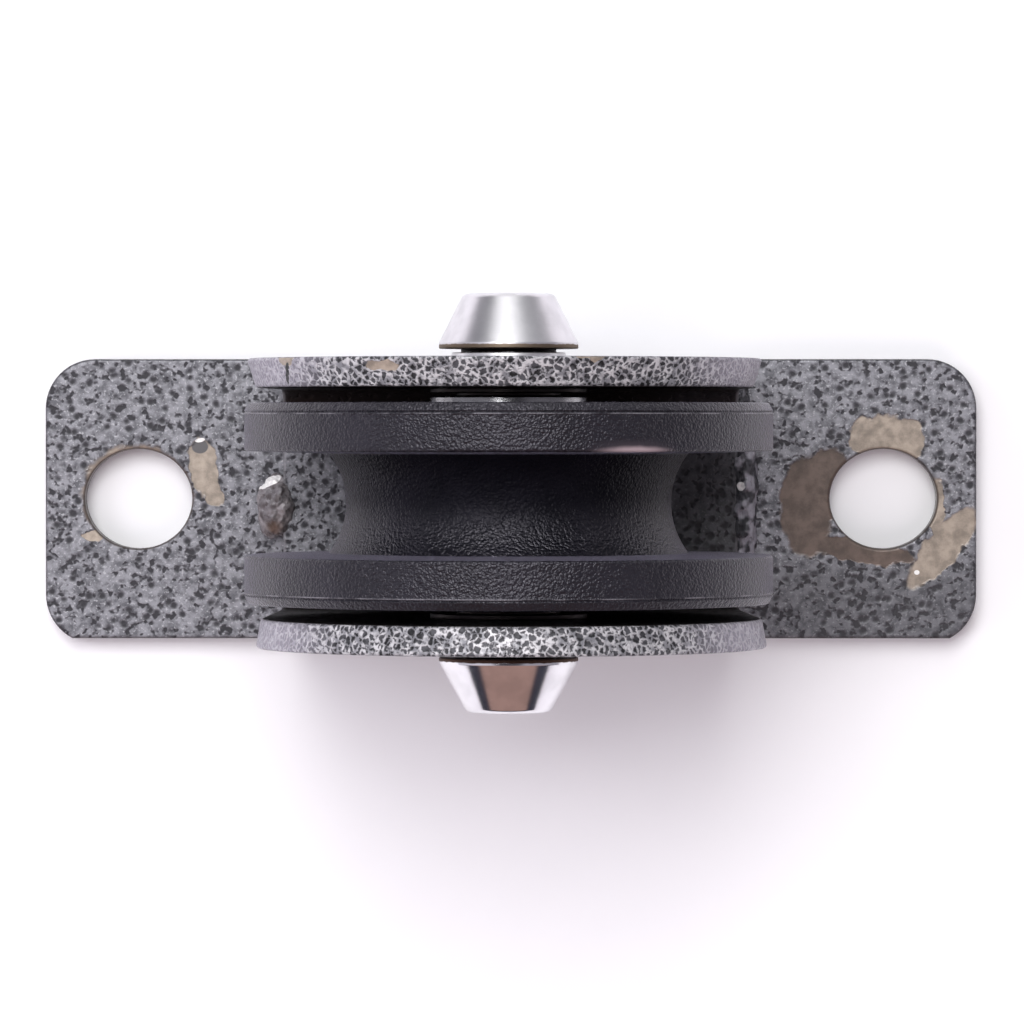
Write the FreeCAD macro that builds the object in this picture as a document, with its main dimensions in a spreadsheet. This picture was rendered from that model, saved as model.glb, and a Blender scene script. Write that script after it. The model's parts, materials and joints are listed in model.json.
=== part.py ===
import FreeCAD, Part
import math
import os
import Sketcher

# Shoulder pulley: a grooved nylon sheave on two ball bearings, carried by a cone-headed axle in a
# U-shaped bracket that is welded to a flat base plate with two fixing holes.
# Frame: origin at the bottom centre of the base plate, +X along the plate, +Y along the axle
# towards the rear, +Z from the plate towards the sheave. Millimetres.

DIMENSIONS = [
    # base plate
    ("plate_length", 100.0),
    ("plate_width", 30.0),
    ("plate_thickness", 3.0),
    ("corner_radius", 5.3),
    ("front_shear", 0.6),
    ("hole_diameter", 11.5),
    ("hole_spacing", 80.0),
    # bracket
    ("sheet_thickness", 3.0),
    ("bend_radius", 2.5),
    ("web_width", 48.5),
    ("cheek_diameter", 51.5),
    ("web_clearance", 3.0),
    ("weld_leg", 2.6),
    ("left_weld_length", 6.4),
    ("left_weld_y", -1.6),
    ("right_weld_length", 20.0),
    ("right_weld_y", 1.5),
    # sheave
    ("sheave_diameter", 54.0),
    ("sheave_width", 20.4),
    ("rim_chamfer_axial", 1.0),
    ("rim_chamfer_radial", 0.45),
    ("groove_width", 10.2),
    ("groove_diameter", 33.1),
    ("groove_edge_diameter", 36.6),
    ("groove_lip_radius", 0.5),
    ("shoulder_height", 1.5),
    # axle
    ("axle_diameter", 8.0),
    ("screw_diameter", 6.0),
    ("screw_reach", 22.7),
    ("bore_spare", 1.0),
    ("clamp_gap", 0.3),
    ("cone_height", 5.6),
    ("cone_rim", 0.6),
    ("cone_base_diameter", 14.2),
    ("rear_nose_diameter", 9.2),
    ("front_nose_diameter", 8.6),
    ("socket_across_flats", 4.0),
    ("socket_depth", 3.0),
    # washers
    ("hole_clearance", 0.1),
    ("head_washer_diameter", 11.6),
    ("head_washer_thickness", 1.0),
    ("cheek_washer_diameter", 16.0),
    ("cheek_washer_thickness", 0.5),
    ("shim_wall", 1.2),
    ("shim_thickness", 0.3),
    # ball bearings
    ("bearing_diameter", 16.0),
    ("bearing_width", 5.0),
    ("bearing_proud", 0.7),
    ("ball_diameter", 2.0),
    ("ball_count", 9),
    ("ball_clearance", 0.03),
    ("race_conformity", 0.06),
    ("race_depth", 0.33),
    ("cage_thickness", 0.9),
    ("cage_width", 3.0),
    ("pocket_clearance", 0.06),
    ("shield_thickness", 0.3),
    ("shield_inset", 0.15),
    ("shield_seat", 0.4),
    ("shield_gap", 0.15),
]

# Places and sizes that follow from the driving dimensions.
WEB_TOP = "(dims.plate_thickness + dims.sheet_thickness)"
AXLE_Z = f"({WEB_TOP} + dims.web_clearance + dims.sheave_diameter / 2)"
AXLE_R = "dims.axle_diameter / 2"
BORE_R = f"({AXLE_R} + dims.hole_clearance)"
BEARING_FACE = "(dims.sheave_width / 2 + dims.bearing_proud)"
BEARING_BACK = f"({BEARING_FACE} - dims.bearing_width)"
BEARING_MIDDLE = f"({BEARING_FACE} - dims.bearing_width / 2)"
SHIM_FACE = f"({BEARING_FACE} + dims.shim_thickness)"
CHEEK_INSIDE = f"({SHIM_FACE} + dims.cheek_washer_thickness)"
CHEEK_OUTSIDE = f"({CHEEK_INSIDE} + dims.sheet_thickness)"
HEAD_SEAT = f"({CHEEK_OUTSIDE} + dims.head_washer_thickness)"
NOSE = f"({HEAD_SEAT} + dims.cone_height)"
SEAT_R = "dims.bearing_diameter / 2"
PITCH_R = f"(({AXLE_R} + {SEAT_R}) / 2)"
BALL_R = "dims.ball_diameter / 2"
RACE_R = f"({BALL_R} + dims.race_conformity)"
INNER_RACE_R = f"({PITCH_R} - {BALL_R} - dims.ball_clearance)"
OUTER_RACE_R = f"({PITCH_R} + {BALL_R} + dims.ball_clearance)"
INNER_LAND_R = f"({INNER_RACE_R} + dims.race_depth)"
OUTER_LAND_R = f"({OUTER_RACE_R} - dims.race_depth)"
RACE_HALF = f"sqrt({RACE_R} ^ 2 - ({RACE_R} - dims.race_depth) ^ 2)"
SHIELD_OUTER_R = f"({OUTER_LAND_R} + dims.shield_seat)"
SHIELD_INNER_R = f"({INNER_LAND_R} + dims.shield_gap)"

ENDS = {"front": -1, "rear": 1}

doc = FreeCAD.newDocument("shoulder_pulley")
dims = doc.addObject("Spreadsheet::Sheet", "dims")
for row, (alias, value) in enumerate(DIMENSIONS, start=1):
    dims.set(f"A{row}", alias)
    dims.set(f"B{row}", str(value))
    dims.setAlias(f"B{row}", alias)
doc.recompute()


def value_of(expression):
    """The number an expression gives with the present dimensions."""
    return float(dims.evalExpression(str(expression)))


def add(kind, name, **sizes):
    """A Part primitive whose named sizes are bound to expressions."""
    thing = doc.addObject(kind, name)
    for size, expression in sizes.items():
        thing.setExpression(size, expression)
    return thing


def place(thing, **axes):
    """Binds x, y or z of an object's position to expressions."""
    for axis, expression in axes.items():
        thing.setExpression(f".Placement.Base.{axis}", expression)


def turn(thing, axis, degrees):
    thing.Placement = FreeCAD.Placement(FreeCAD.Vector(), FreeCAD.Rotation(axis, degrees))


def boolean(kind, label, base, tool):
    result = doc.addObject(kind, label)
    result.Base = base
    result.Tool = tool
    return result


def new_body(label):
    return doc.addObject("PartDesign::Body", label)


def new_sketch(body, plane):
    """A sketch on one of the body's own origin planes."""
    sketch = body.newObject("Sketcher::SketchObject", f"{body.Label}_{plane}")
    role = f"{plane}_Plane"
    origin_plane = next(item for item in body.Origin.OriginFeatures if item.Role == role)
    sketch.AttachmentSupport = (origin_plane, [""])
    sketch.MapMode = "FlatFace"
    return sketch


def bind(sketch, constraint, expression):
    index = sketch.addConstraint(constraint)
    sketch.setExpression(f"Constraints[{index}]", str(expression))


def pin_point(sketch, geometry, point, where):
    """Holds a point of a sketch at a pair of expressions."""
    for kind, origin_axis, expression in (("DistanceX", -2, where[0]), ("DistanceY", -1, where[1])):
        distance = value_of(expression)
        if expression == "0":
            sketch.addConstraint(Sketcher.Constraint("PointOnObject", geometry, point, origin_axis))
        else:
            bind(sketch, Sketcher.Constraint(kind, -1, 1, geometry, point, distance), expression)


def arc_between(start, end, radius):
    """The shorter arc from start to end: it turns left for a positive radius, right for a negative."""
    chord = end - start
    rise = math.sqrt(max(radius ** 2 - (chord.Length / 2) ** 2, 0.0))
    left = FreeCAD.Vector(-chord.y, chord.x, 0).normalize()
    side = 1 if radius > 0 else -1
    centre = (start + end) / 2 + left * rise * side
    middle = centre - left * abs(radius) * side
    return Part.Arc(start, middle, end)


def outline(sketch, corners):
    """A closed outline. Each corner is (x, y) or, where an arc leads on to the next, (x, y, radius)."""
    points = [FreeCAD.Vector(value_of(corner[0]), value_of(corner[1]), 0) for corner in corners]
    tails = []
    heads = []
    for index, corner in enumerate(corners):
        start = points[index]
        end = points[(index + 1) % len(points)]
        if len(corner) == 2:
            edge = sketch.addGeometry(Part.LineSegment(start, end), False)
            tails.append((edge, 1))
            heads.append((edge, 2))
            continue
        radius = value_of(corner[2])
        edge = sketch.addGeometry(arc_between(start, end, radius), False)
        # A sketch keeps every arc anticlockwise, so one that turns right is stored end first.
        tails.append((edge, 1 if radius > 0 else 2))
        heads.append((edge, 2 if radius > 0 else 1))
        bind(sketch, Sketcher.Constraint("Radius", edge, abs(radius)), f"abs({corner[2]})")
    for index, corner in enumerate(corners):
        sketch.addConstraint(Sketcher.Constraint("Coincident", *heads[index - 1], *tails[index]))
        pin_point(sketch, *tails[index], corner)


def turned(label, corners):
    """A piece turned about the axle line, from an outline of (place along the axle, radius)."""
    body = new_body(label)
    sketch = new_sketch(body, "YZ")
    outline(sketch, corners)
    revolution = body.newObject("PartDesign::Revolution", f"{label}_turned")
    revolution.Profile = sketch
    revolution.ReferenceAxis = (sketch, ["H_Axis"])
    revolution.Angle = 360
    place(body, z=AXLE_Z)
    return body


def turned_ring(label, low, high, inner_r, outer_r):
    return turned(label, [(low, inner_r), (high, inner_r), (high, outer_r), (low, outer_r)])


def at_end(side, near, far):
    """Two places along the axle, in rising order, on the chosen side of the middle."""
    if side > 0:
        return near, far
    return f"-{far}", f"-{near}"


def add_pad(body, plane, corners, length, both_ways=True):
    sketch = new_sketch(body, plane)
    outline(sketch, corners)
    pad = body.newObject("PartDesign::Pad", f"{body.Label}_pad")
    pad.Profile = sketch
    pad.SideType = "Symmetric" if both_ways else "One side"
    pad.setExpression("Length", length)
    return pad


def make_base_plate():
    half_length = "dims.plate_length / 2"
    half_width = "dims.plate_width / 2"
    # The blank is deeper than the plate at the front, where shearing takes the edge off after the
    # corners are rounded, so the front corners end short of the straight edge.
    blank_front = f"-({half_width} + dims.front_shear)"
    body = new_body("base_plate")
    blank = [
        (f"-{half_length}", blank_front),
        (half_length, blank_front),
        (half_length, half_width),
        (f"-{half_length}", half_width),
    ]
    pad = add_pad(body, "XY", blank, "dims.plate_thickness", both_ways=False)
    doc.recompute()
    upright = [
        f"Edge{number}"
        for number, edge in enumerate(pad.Shape.Edges, start=1)
        if abs(edge.tangentAt(edge.FirstParameter).z) > 0.99
    ]
    rounding = body.newObject("PartDesign::Fillet", "corner_rounding")
    rounding.Base = (pad, upright)
    rounding.setExpression("Radius", "dims.corner_radius")
    doc.recompute()

    shear = new_sketch(body, "XY")
    strip = [
        (f"-{half_length}", blank_front),
        (half_length, blank_front),
        (half_length, f"-{half_width}"),
        (f"-{half_length}", f"-{half_width}"),
    ]
    outline(shear, strip)
    cut_through(body, shear, "front_edge_shear")

    drilling = new_sketch(body, "XY")
    for side in (-1, 1):
        centre_x = f"{side} * dims.hole_spacing / 2"
        circle = Part.Circle(FreeCAD.Vector(value_of(centre_x), 0, 0), FreeCAD.Vector(0, 0, 1),
                             value_of("dims.hole_diameter / 2"))
        index = drilling.addGeometry(circle, False)
        pin_point(drilling, index, 3, (centre_x, "0"))
        bind(drilling, Sketcher.Constraint("Diameter", index, value_of("dims.hole_diameter")),
             "dims.hole_diameter")
    cut_through(body, drilling, "fixing_holes")
    return body


def cut_through(body, sketch, name):
    before = body.Shape.Volume
    pocket = body.newObject("PartDesign::Pocket", name)
    pocket.Profile = sketch
    pocket.Type = "ThroughAll"
    pocket.Reversed = True
    doc.recompute()
    if body.Shape.Volume > before - 1:
        raise RuntimeError(f"{name} removes nothing")


def make_u_bracket():
    """The strip bent to a U, cut to the outline of two round cheeks on a narrower web."""
    top = f"({AXLE_Z} + dims.cheek_diameter / 2)"
    base = "dims.plate_thickness"
    outer_bend = "(dims.bend_radius + dims.sheet_thickness)"
    outer_rise = f"({base} + {outer_bend})"
    inner_rise = f"({WEB_TOP} + dims.bend_radius)"
    bent = new_body("bent_strip")
    section = [
        (f"-{CHEEK_OUTSIDE}", top),
        (f"-{CHEEK_OUTSIDE}", outer_rise, outer_bend),
        (f"-({CHEEK_OUTSIDE} - {outer_bend})", base),
        (f"{CHEEK_OUTSIDE} - {outer_bend}", base, outer_bend),
        (CHEEK_OUTSIDE, outer_rise),
        (CHEEK_OUTSIDE, top),
        (CHEEK_INSIDE, top),
        (CHEEK_INSIDE, inner_rise, "-dims.bend_radius"),
        (f"{CHEEK_INSIDE} - dims.bend_radius", WEB_TOP),
        (f"-({CHEEK_INSIDE} - dims.bend_radius)", WEB_TOP, "-dims.bend_radius"),
        (f"-{CHEEK_INSIDE}", inner_rise),
        (f"-{CHEEK_INSIDE}", top),
    ]
    add_pad(bent, "YZ", section, "max(dims.cheek_diameter; dims.web_width)")

    side_view = new_body("cheek_outline")
    sketch = new_sketch(side_view, "XZ")
    half_web = value_of("dims.web_width / 2")
    base_z = value_of(base)
    centre = FreeCAD.Vector(0, value_of(AXLE_Z), 0)
    cheek_r = value_of("dims.cheek_diameter / 2")
    right_foot = FreeCAD.Vector(half_web, base_z, 0)
    left_foot = FreeCAD.Vector(-half_web, base_z, 0)
    right_shoulder = centre + FreeCAD.Vector(cheek_r, 0, 0)
    left_shoulder = centre - FreeCAD.Vector(cheek_r, 0, 0)
    foot = sketch.addGeometry(Part.LineSegment(left_foot, right_foot), False)
    right = sketch.addGeometry(Part.LineSegment(right_foot, right_shoulder), False)
    crown = sketch.addGeometry(
        Part.Arc(right_shoulder, centre + FreeCAD.Vector(0, cheek_r, 0), left_shoulder), False)
    left = sketch.addGeometry(Part.LineSegment(left_shoulder, left_foot), False)
    sketch.addConstraint(Sketcher.Constraint("Coincident", foot, 2, right, 1))
    sketch.addConstraint(Sketcher.Constraint("Tangent", right, 2, crown, 1))
    sketch.addConstraint(Sketcher.Constraint("Tangent", crown, 2, left, 1))
    sketch.addConstraint(Sketcher.Constraint("Coincident", left, 2, foot, 1))
    pin_point(sketch, foot, 1, ("-dims.web_width / 2", base))
    pin_point(sketch, foot, 2, ("dims.web_width / 2", base))
    pin_point(sketch, crown, 3, ("0", AXLE_Z))
    bind(sketch, Sketcher.Constraint("Diameter", crown, 2 * cheek_r), "dims.cheek_diameter")
    pad = side_view.newObject("PartDesign::Pad", "cheek_outline_pad")
    pad.Profile = sketch
    pad.SideType = "Symmetric"
    pad.setExpression("Length", f"2 * {CHEEK_OUTSIDE}")

    formed = doc.addObject("Part::Common", "formed_strip")
    formed.Base = bent
    formed.Tool = side_view
    axle_hole = add("Part::Cylinder", "axle_hole", Radius=BORE_R, Height=f"2 * {CHEEK_OUTSIDE}")
    turn(axle_hole, FreeCAD.Vector(1, 0, 0), -90)
    place(axle_hole, y=f"-{CHEEK_OUTSIDE}", z=AXLE_Z)
    return boolean("Part::Cut", "u_bracket", formed, axle_hole)


def make_weld_bead(hand, side, bracket):
    """A rounded bead in the corner between the plate's top and one edge of the web."""
    label = f"weld_bead_{hand}"
    length = f"dims.{hand}_weld_length"
    straight = f"({length} - 2 * dims.weld_leg)"
    foot_x = f"{side} * dims.web_width / 2"
    low_y = f"(dims.{hand}_weld_y - {straight} / 2)"
    rod = add("Part::Cylinder", f"{label}_rod", Radius="dims.weld_leg", Height=straight)
    turn(rod, FreeCAD.Vector(1, 0, 0), -90)
    place(rod, x=foot_x, y=low_y, z="dims.plate_thickness")
    ends = []
    for end_y in (low_y, f"{low_y} + {straight}"):
        end = add("Part::Sphere", f"{label}_end", Radius="dims.weld_leg")
        place(end, x=foot_x, y=end_y, z="dims.plate_thickness")
        ends.append(end)
    capsule = doc.addObject("Part::MultiFuse", f"{label}_capsule")
    capsule.Shapes = [rod] + ends
    corner = add("Part::Box", f"{label}_corner", Length="dims.weld_leg", Width=length,
                 Height="dims.weld_leg")
    corner_x = foot_x if side > 0 else f"{foot_x} - dims.weld_leg"
    place(corner, x=corner_x, y=f"dims.{hand}_weld_y - {length} / 2", z="dims.plate_thickness")
    quarter = boolean("Part::Common", f"{label}_quarter", capsule, corner)
    return boolean("Part::Cut", label, quarter, bracket)


def make_sheave():
    half = "dims.sheave_width / 2"
    rim_r = "dims.sheave_diameter / 2"
    groove = "dims.groove_width / 2"
    edge_r = "dims.groove_edge_diameter / 2"
    sag = "((dims.groove_edge_diameter - dims.groove_diameter) / 2)"
    arc_r = f"((({groove}) ^ 2 + {sag} ^ 2) / (2 * {sag}))"
    lip = "dims.groove_lip_radius"
    lip_start = f"({groove} + {lip})"
    chamfer_low = f"({rim_r} - dims.rim_chamfer_radial)"
    chamfer_in = f"({half} - dims.rim_chamfer_axial)"
    shoulder_r = f"({SEAT_R} - dims.shoulder_height)"
    corners = [
        (f"-{half}", SEAT_R),
        (f"-{BEARING_BACK}", SEAT_R),
        (f"-{BEARING_BACK}", shoulder_r),
        (BEARING_BACK, shoulder_r),
        (BEARING_BACK, SEAT_R),
        (half, SEAT_R),
        (half, chamfer_low),
        (chamfer_in, rim_r),
        (lip_start, rim_r, lip),
        (groove, f"{rim_r} - {lip}"),
        (groove, edge_r, f"-{arc_r}"),
        (f"-{groove}", edge_r),
        (f"-{groove}", f"{rim_r} - {lip}", lip),
        (f"-{lip_start}", rim_r),
        (f"-{chamfer_in}", rim_r),
        (f"-{half}", chamfer_low),
    ]
    return turned("sheave", corners)


def with_socket(label, head, side):
    """The turned head with a hexagon socket in its nose."""
    socket = add("Part::Prism", f"{label}_socket", Height="dims.socket_depth",
                 Circumradius="dims.socket_across_flats / sqrt(3)")
    turn(socket, FreeCAD.Vector(1, 0, 0), -90)
    low_y = f"{NOSE} - dims.socket_depth" if side > 0 else f"-{NOSE}"
    place(socket, y=low_y, z=AXLE_Z)
    return boolean("Part::Cut", label, head, socket)


def make_axle():
    """A sleeve with the rear cone head, and a screw with the front one, clamped together."""
    rim = f"({HEAD_SEAT} + dims.cone_rim)"
    cone_r = "dims.cone_base_diameter / 2"
    screw_r = "dims.screw_diameter / 2"
    sleeve_end = f"-({HEAD_SEAT} - dims.clamp_gap)"
    screw_end = f"(dims.screw_reach - {HEAD_SEAT})"
    bore_end = f"({screw_end} + dims.bore_spare)"
    sleeve = turned("sleeve_turning", [
        (sleeve_end, screw_r),
        (bore_end, screw_r),
        (bore_end, "0"),
        (NOSE, "0"),
        (NOSE, "dims.rear_nose_diameter / 2"),
        (rim, cone_r),
        (HEAD_SEAT, cone_r),
        (HEAD_SEAT, AXLE_R),
        (sleeve_end, AXLE_R),
    ])
    screw = turned("screw_turning", [
        (f"-{NOSE}", "0"),
        (screw_end, "0"),
        (screw_end, screw_r),
        (f"-{HEAD_SEAT}", screw_r),
        (f"-{HEAD_SEAT}", cone_r),
        (f"-{rim}", cone_r),
        (f"-{NOSE}", "dims.front_nose_diameter / 2"),
    ])
    return [with_socket("axle_sleeve_nut", sleeve, 1), with_socket("axle_screw", screw, -1)]


def make_washers(end, side):
    """The head washer, the cheek washer and the bearing shim of one end."""
    head_r = "dims.head_washer_diameter / 2"
    cheek_r = "dims.cheek_washer_diameter / 2"
    shim_r = f"({BORE_R} + dims.shim_wall)"
    stack = [
        ("head_washer", CHEEK_OUTSIDE, HEAD_SEAT, head_r),
        ("cheek_washer", SHIM_FACE, CHEEK_INSIDE, cheek_r),
        ("bearing_shim", BEARING_FACE, SHIM_FACE, shim_r),
    ]
    return [
        turned_ring(f"{name}_{end}", *at_end(side, near, far), BORE_R, outer_r)
        for name, near, far, outer_r in stack
    ]


def make_bearing(end, side):
    """One ball bearing: two rings, two shields, a cage and its balls."""
    low, high = at_end(side, BEARING_BACK, BEARING_FACE)
    middle = BEARING_MIDDLE if side > 0 else f"-{BEARING_MIDDLE}"
    groove_low = f"({middle} - {RACE_HALF})"
    groove_high = f"({middle} + {RACE_HALF})"
    inner = turned(f"bearing_inner_ring_{end}", [
        (low, AXLE_R),
        (high, AXLE_R),
        (high, INNER_LAND_R),
        (groove_high, INNER_LAND_R, f"-{RACE_R}"),
        (groove_low, INNER_LAND_R),
        (low, INNER_LAND_R),
    ])
    seat_depth = "(dims.shield_inset + dims.shield_thickness)"
    outer = turned(f"bearing_outer_ring_{end}", [
        (low, SHIELD_OUTER_R),
        (f"{low} + {seat_depth}", SHIELD_OUTER_R),
        (f"{low} + {seat_depth}", OUTER_LAND_R),
        (groove_low, OUTER_LAND_R, f"-{RACE_R}"),
        (groove_high, OUTER_LAND_R),
        (f"{high} - {seat_depth}", OUTER_LAND_R),
        (f"{high} - {seat_depth}", SHIELD_OUTER_R),
        (high, SHIELD_OUTER_R),
        (high, SEAT_R),
        (low, SEAT_R),
    ])
    shields = []
    for where, near, far in (
        ("outer", f"({BEARING_FACE} - {seat_depth})", f"({BEARING_FACE} - dims.shield_inset)"),
        ("inner", f"({BEARING_BACK} + dims.shield_inset)", f"({BEARING_BACK} + {seat_depth})"),
    ):
        span = at_end(side, near, far)
        shields.append(
            turned_ring(f"bearing_shield_{where}_{end}", *span, SHIELD_INNER_R, SHIELD_OUTER_R))

    cage_half = "dims.cage_width / 2"
    wall_half = "dims.cage_thickness / 2"
    ring = turned_ring(f"cage_ring_{end}", f"{middle} - {cage_half}", f"{middle} + {cage_half}",
                       f"{PITCH_R} - {wall_half}", f"{PITCH_R} + {wall_half}")
    balls = ball_circle(f"bearing_balls_{end}", middle)
    pockets = pocket_circle(f"cage_pockets_{end}", middle)
    cage = boolean("Part::Cut", f"bearing_cage_{end}", ring, pockets)
    return [inner, outer, *shields, cage, balls]


def ball_angles():
    """The angle of each ball from +Z towards +X. None lies on +Z, where the turned rings close."""
    count = int(value_of("dims.ball_count"))
    return [f"({index} + 0.5) * 360 / dims.ball_count" for index in range(count)]


def compound(label, things):
    group = doc.addObject("Part::Compound", label)
    group.Links = things
    return group


def ball_circle(label, middle):
    """Balls evenly spaced on the bearing's pitch circle."""
    balls = []
    for angle in ball_angles():
        ball = add("Part::Sphere", f"{label}_ball", Radius=BALL_R)
        place(ball, x=f"{PITCH_R} * sin({angle})", y=middle, z=f"{AXLE_Z} + {PITCH_R} * cos({angle})")
        balls.append(ball)
    return compound(label, balls)


def pocket_circle(label, middle):
    """Radial bores through the cage wall, one round each ball."""
    bores = []
    for angle in ball_angles():
        bore = add("Part::Cylinder", f"{label}_bore", Radius=f"{BALL_R} + dims.pocket_clearance",
                   Height=f"{PITCH_R} + dims.cage_thickness")
        turn(bore, FreeCAD.Vector(0, 1, 0), value_of(angle))
        bore.setExpression(".Placement.Rotation.Angle", angle)
        place(bore, y=middle, z=AXLE_Z)
        bores.append(bore)
    return compound(label, bores)


def make_pieces():
    bracket = make_u_bracket()
    pieces = [make_base_plate(), bracket]
    pieces += [make_weld_bead("left", -1, bracket), make_weld_bead("right", 1, bracket)]
    pieces += make_axle()
    pieces.append(turned_ring("bearing_spacer_tube", f"-{BEARING_BACK}", BEARING_BACK, BORE_R,
                              INNER_LAND_R))
    pieces.append(make_sheave())
    for end, side in ENDS.items():
        pieces += make_washers(end, side)
        pieces += make_bearing(end, side)
    return pieces


def check_document():
    for thing in doc.Objects:
        if {"Invalid", "Error"} & set(thing.State):
            raise RuntimeError(f"{thing.Label} failed: {thing.State}")


pieces = make_pieces()
doc.recompute()
check_document()
for piece in pieces:
    if piece.Shape.isNull() or not piece.Shape.isValid():
        raise RuntimeError(f"{piece.Label} has no valid shape")
os.makedirs("parts", exist_ok=True)
for piece in pieces:
    piece.Shape.exportStep(f"parts/{piece.Label}.step")
    print(f"{piece.Label}: {piece.Shape.Volume:.2f} mm3, {len(piece.Shape.Solids)} solid(s)")
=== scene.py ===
import bmesh
import bpy
import json
import math
from mathutils import Matrix, Vector, noise
from mathutils.geometry import delaunay_2d_cdt


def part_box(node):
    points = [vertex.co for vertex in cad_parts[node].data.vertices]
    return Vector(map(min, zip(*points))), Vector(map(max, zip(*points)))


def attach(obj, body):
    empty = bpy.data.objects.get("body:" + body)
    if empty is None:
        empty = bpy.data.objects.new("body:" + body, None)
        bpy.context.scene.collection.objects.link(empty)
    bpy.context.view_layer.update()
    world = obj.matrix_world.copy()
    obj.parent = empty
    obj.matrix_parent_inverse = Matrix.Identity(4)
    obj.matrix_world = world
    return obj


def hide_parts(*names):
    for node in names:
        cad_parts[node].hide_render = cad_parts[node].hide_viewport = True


# The looks of the shoulder pulley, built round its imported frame. Metres, +Z up, +Y along the axle.
# Every piece but the balls and their cages is a mesh of its own that replaces its CAD node. Sizes
# written here are in millimetres, turned into metres by MM. Places come from the frame.

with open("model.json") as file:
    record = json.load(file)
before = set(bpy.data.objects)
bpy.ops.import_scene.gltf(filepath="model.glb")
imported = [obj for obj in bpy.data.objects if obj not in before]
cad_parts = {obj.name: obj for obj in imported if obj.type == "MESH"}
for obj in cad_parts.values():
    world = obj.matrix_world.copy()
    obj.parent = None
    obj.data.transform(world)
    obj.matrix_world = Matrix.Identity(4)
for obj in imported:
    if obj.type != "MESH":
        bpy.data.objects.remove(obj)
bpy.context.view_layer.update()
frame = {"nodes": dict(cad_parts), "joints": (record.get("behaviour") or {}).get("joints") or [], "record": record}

MM = 0.001
AXLE_Z = frame["joints"][0]["pos_m"][2]
MOUNTS = {mount["name"]: mount for mount in frame["record"]["mounts"]}
HOLE_R = MOUNTS["fixing_holes"]["dims"]["hole_r_mm"] * MM
HOLE_X = MOUNTS["fixing_holes"]["dims"]["spacing_x_mm"] / 2 * MM

PLATE_LOW, PLATE_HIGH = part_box("base_plate")
BRACKET_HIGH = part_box("u_bracket")[1]
SHEAVE_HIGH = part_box("sheave")[1]

PLATE_TOP = PLATE_HIGH.z
SHEET = 3.0 * MM
BEND_R = 2.5 * MM
WEB_HALF = 24.25 * MM
CHEEK_R = BRACKET_HIGH.x
CHEEK_INSIDE = BRACKET_HIGH.y - SHEET
EDGE_R = 0.35 * MM
SHARP_ANGLE = math.radians(50)
CLEARANCE_R = 4.1 * MM
SHANK_R = 4.0 * MM
SCREW_R = 3.0 * MM


# ---------------------------------------------------------------- meshes

def rounded_corners(corners, steps=6):
    """Points of an outline whose corners (x, y, radius) are rounded by arcs."""
    points = []
    count = len(corners)
    for index, (x, y, radius) in enumerate(corners):
        here = Vector((x, y))
        if radius <= 0:
            points.append(here)
            continue
        before = (Vector(corners[index - 1][:2]) - here).normalized()
        after = (Vector(corners[(index + 1) % count][:2]) - here).normalized()
        half = before.angle(after) / 2
        centre = here + (before + after).normalized() * radius / math.sin(half)
        reach = radius / math.tan(half)
        start = here + before * reach - centre
        sweep = start.angle_signed(here + after * reach - centre)
        for step in range(steps + 1):
            turn = -sweep * step / steps
            points.append(centre + Vector((
                start.x * math.cos(turn) - start.y * math.sin(turn),
                start.x * math.sin(turn) + start.y * math.cos(turn),
            )))
    return points


def arc_points(centre, radius, start, end, steps):
    """Points on an arc from angle start to angle end, in radians, both ends included."""
    return [
        Vector((centre[0] + radius * math.cos(start + (end - start) * step / steps),
                centre[1] + radius * math.sin(start + (end - start) * step / steps)))
        for step in range(steps + 1)
    ]


def add_to_scene(name, data):
    """An object of the data, in the scene."""
    thing = bpy.data.objects.new(name, data)
    bpy.context.scene.collection.objects.link(thing)
    return thing


def piece_from(name, solid, material, body, node):
    """Makes the object of a finished bmesh, smooth shaded, in place of its node."""
    bmesh.ops.recalc_face_normals(solid, faces=solid.faces)
    mesh = bpy.data.meshes.new(name)
    solid.to_mesh(mesh)
    solid.free()
    mesh.shade_smooth()
    mesh.set_sharp_from_angle(angle=SHARP_ANGLE)
    mesh.materials.append(material)
    piece = add_to_scene(name, mesh)
    weights = piece.modifiers.new("weighted_normals", "WEIGHTED_NORMAL")
    weights.keep_sharp = True
    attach(piece, body)
    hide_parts(node)


def lathe(profile, steps=192, shift=None):
    """A bmesh turned about the axle line from a closed profile of (place along Y, radius).
    A radius may be a function of the angle, and shift(y, radius, angle) is added to it."""
    solid = bmesh.new()
    rings = []
    for y, radius in profile:
        if radius == 0:
            rings.append([solid.verts.new((0, y, AXLE_Z))])
            continue
        ring = []
        for step in range(steps):
            angle = 2 * math.pi * step / steps
            r = radius(angle) if callable(radius) else radius
            r += shift(y, r, angle) if shift else 0
            ring.append(solid.verts.new((r * math.sin(angle), y, AXLE_Z + r * math.cos(angle))))
        rings.append(ring)
    for index, ring in enumerate(rings):
        nearby = rings[index - 1]
        if len(ring) == 1 and len(nearby) == 1:
            continue
        for step in range(steps):
            after = (step + 1) % steps
            if len(ring) == 1:
                solid.faces.new((nearby[step], nearby[after], ring[0]))
            elif len(nearby) == 1:
                solid.faces.new((ring[step], ring[after], nearby[0]))
            else:
                solid.faces.new((nearby[step], nearby[after], ring[after], ring[step]))
    return solid


def inset_outline(points, depth):
    """The outline moved inwards by depth. Outer outlines run anticlockwise, holes clockwise."""
    moved = []
    for index, here in enumerate(points):
        before = (here - points[index - 1]).normalized()
        after = (points[(index + 1) % len(points)] - here).normalized()
        inward = Vector((-before.y - after.y, before.x + after.x)).normalized()
        lean = max(inward.dot(Vector((-after.y, after.x))), 0.5)
        moved.append(here + inward * depth / lean)
    return moved


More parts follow.
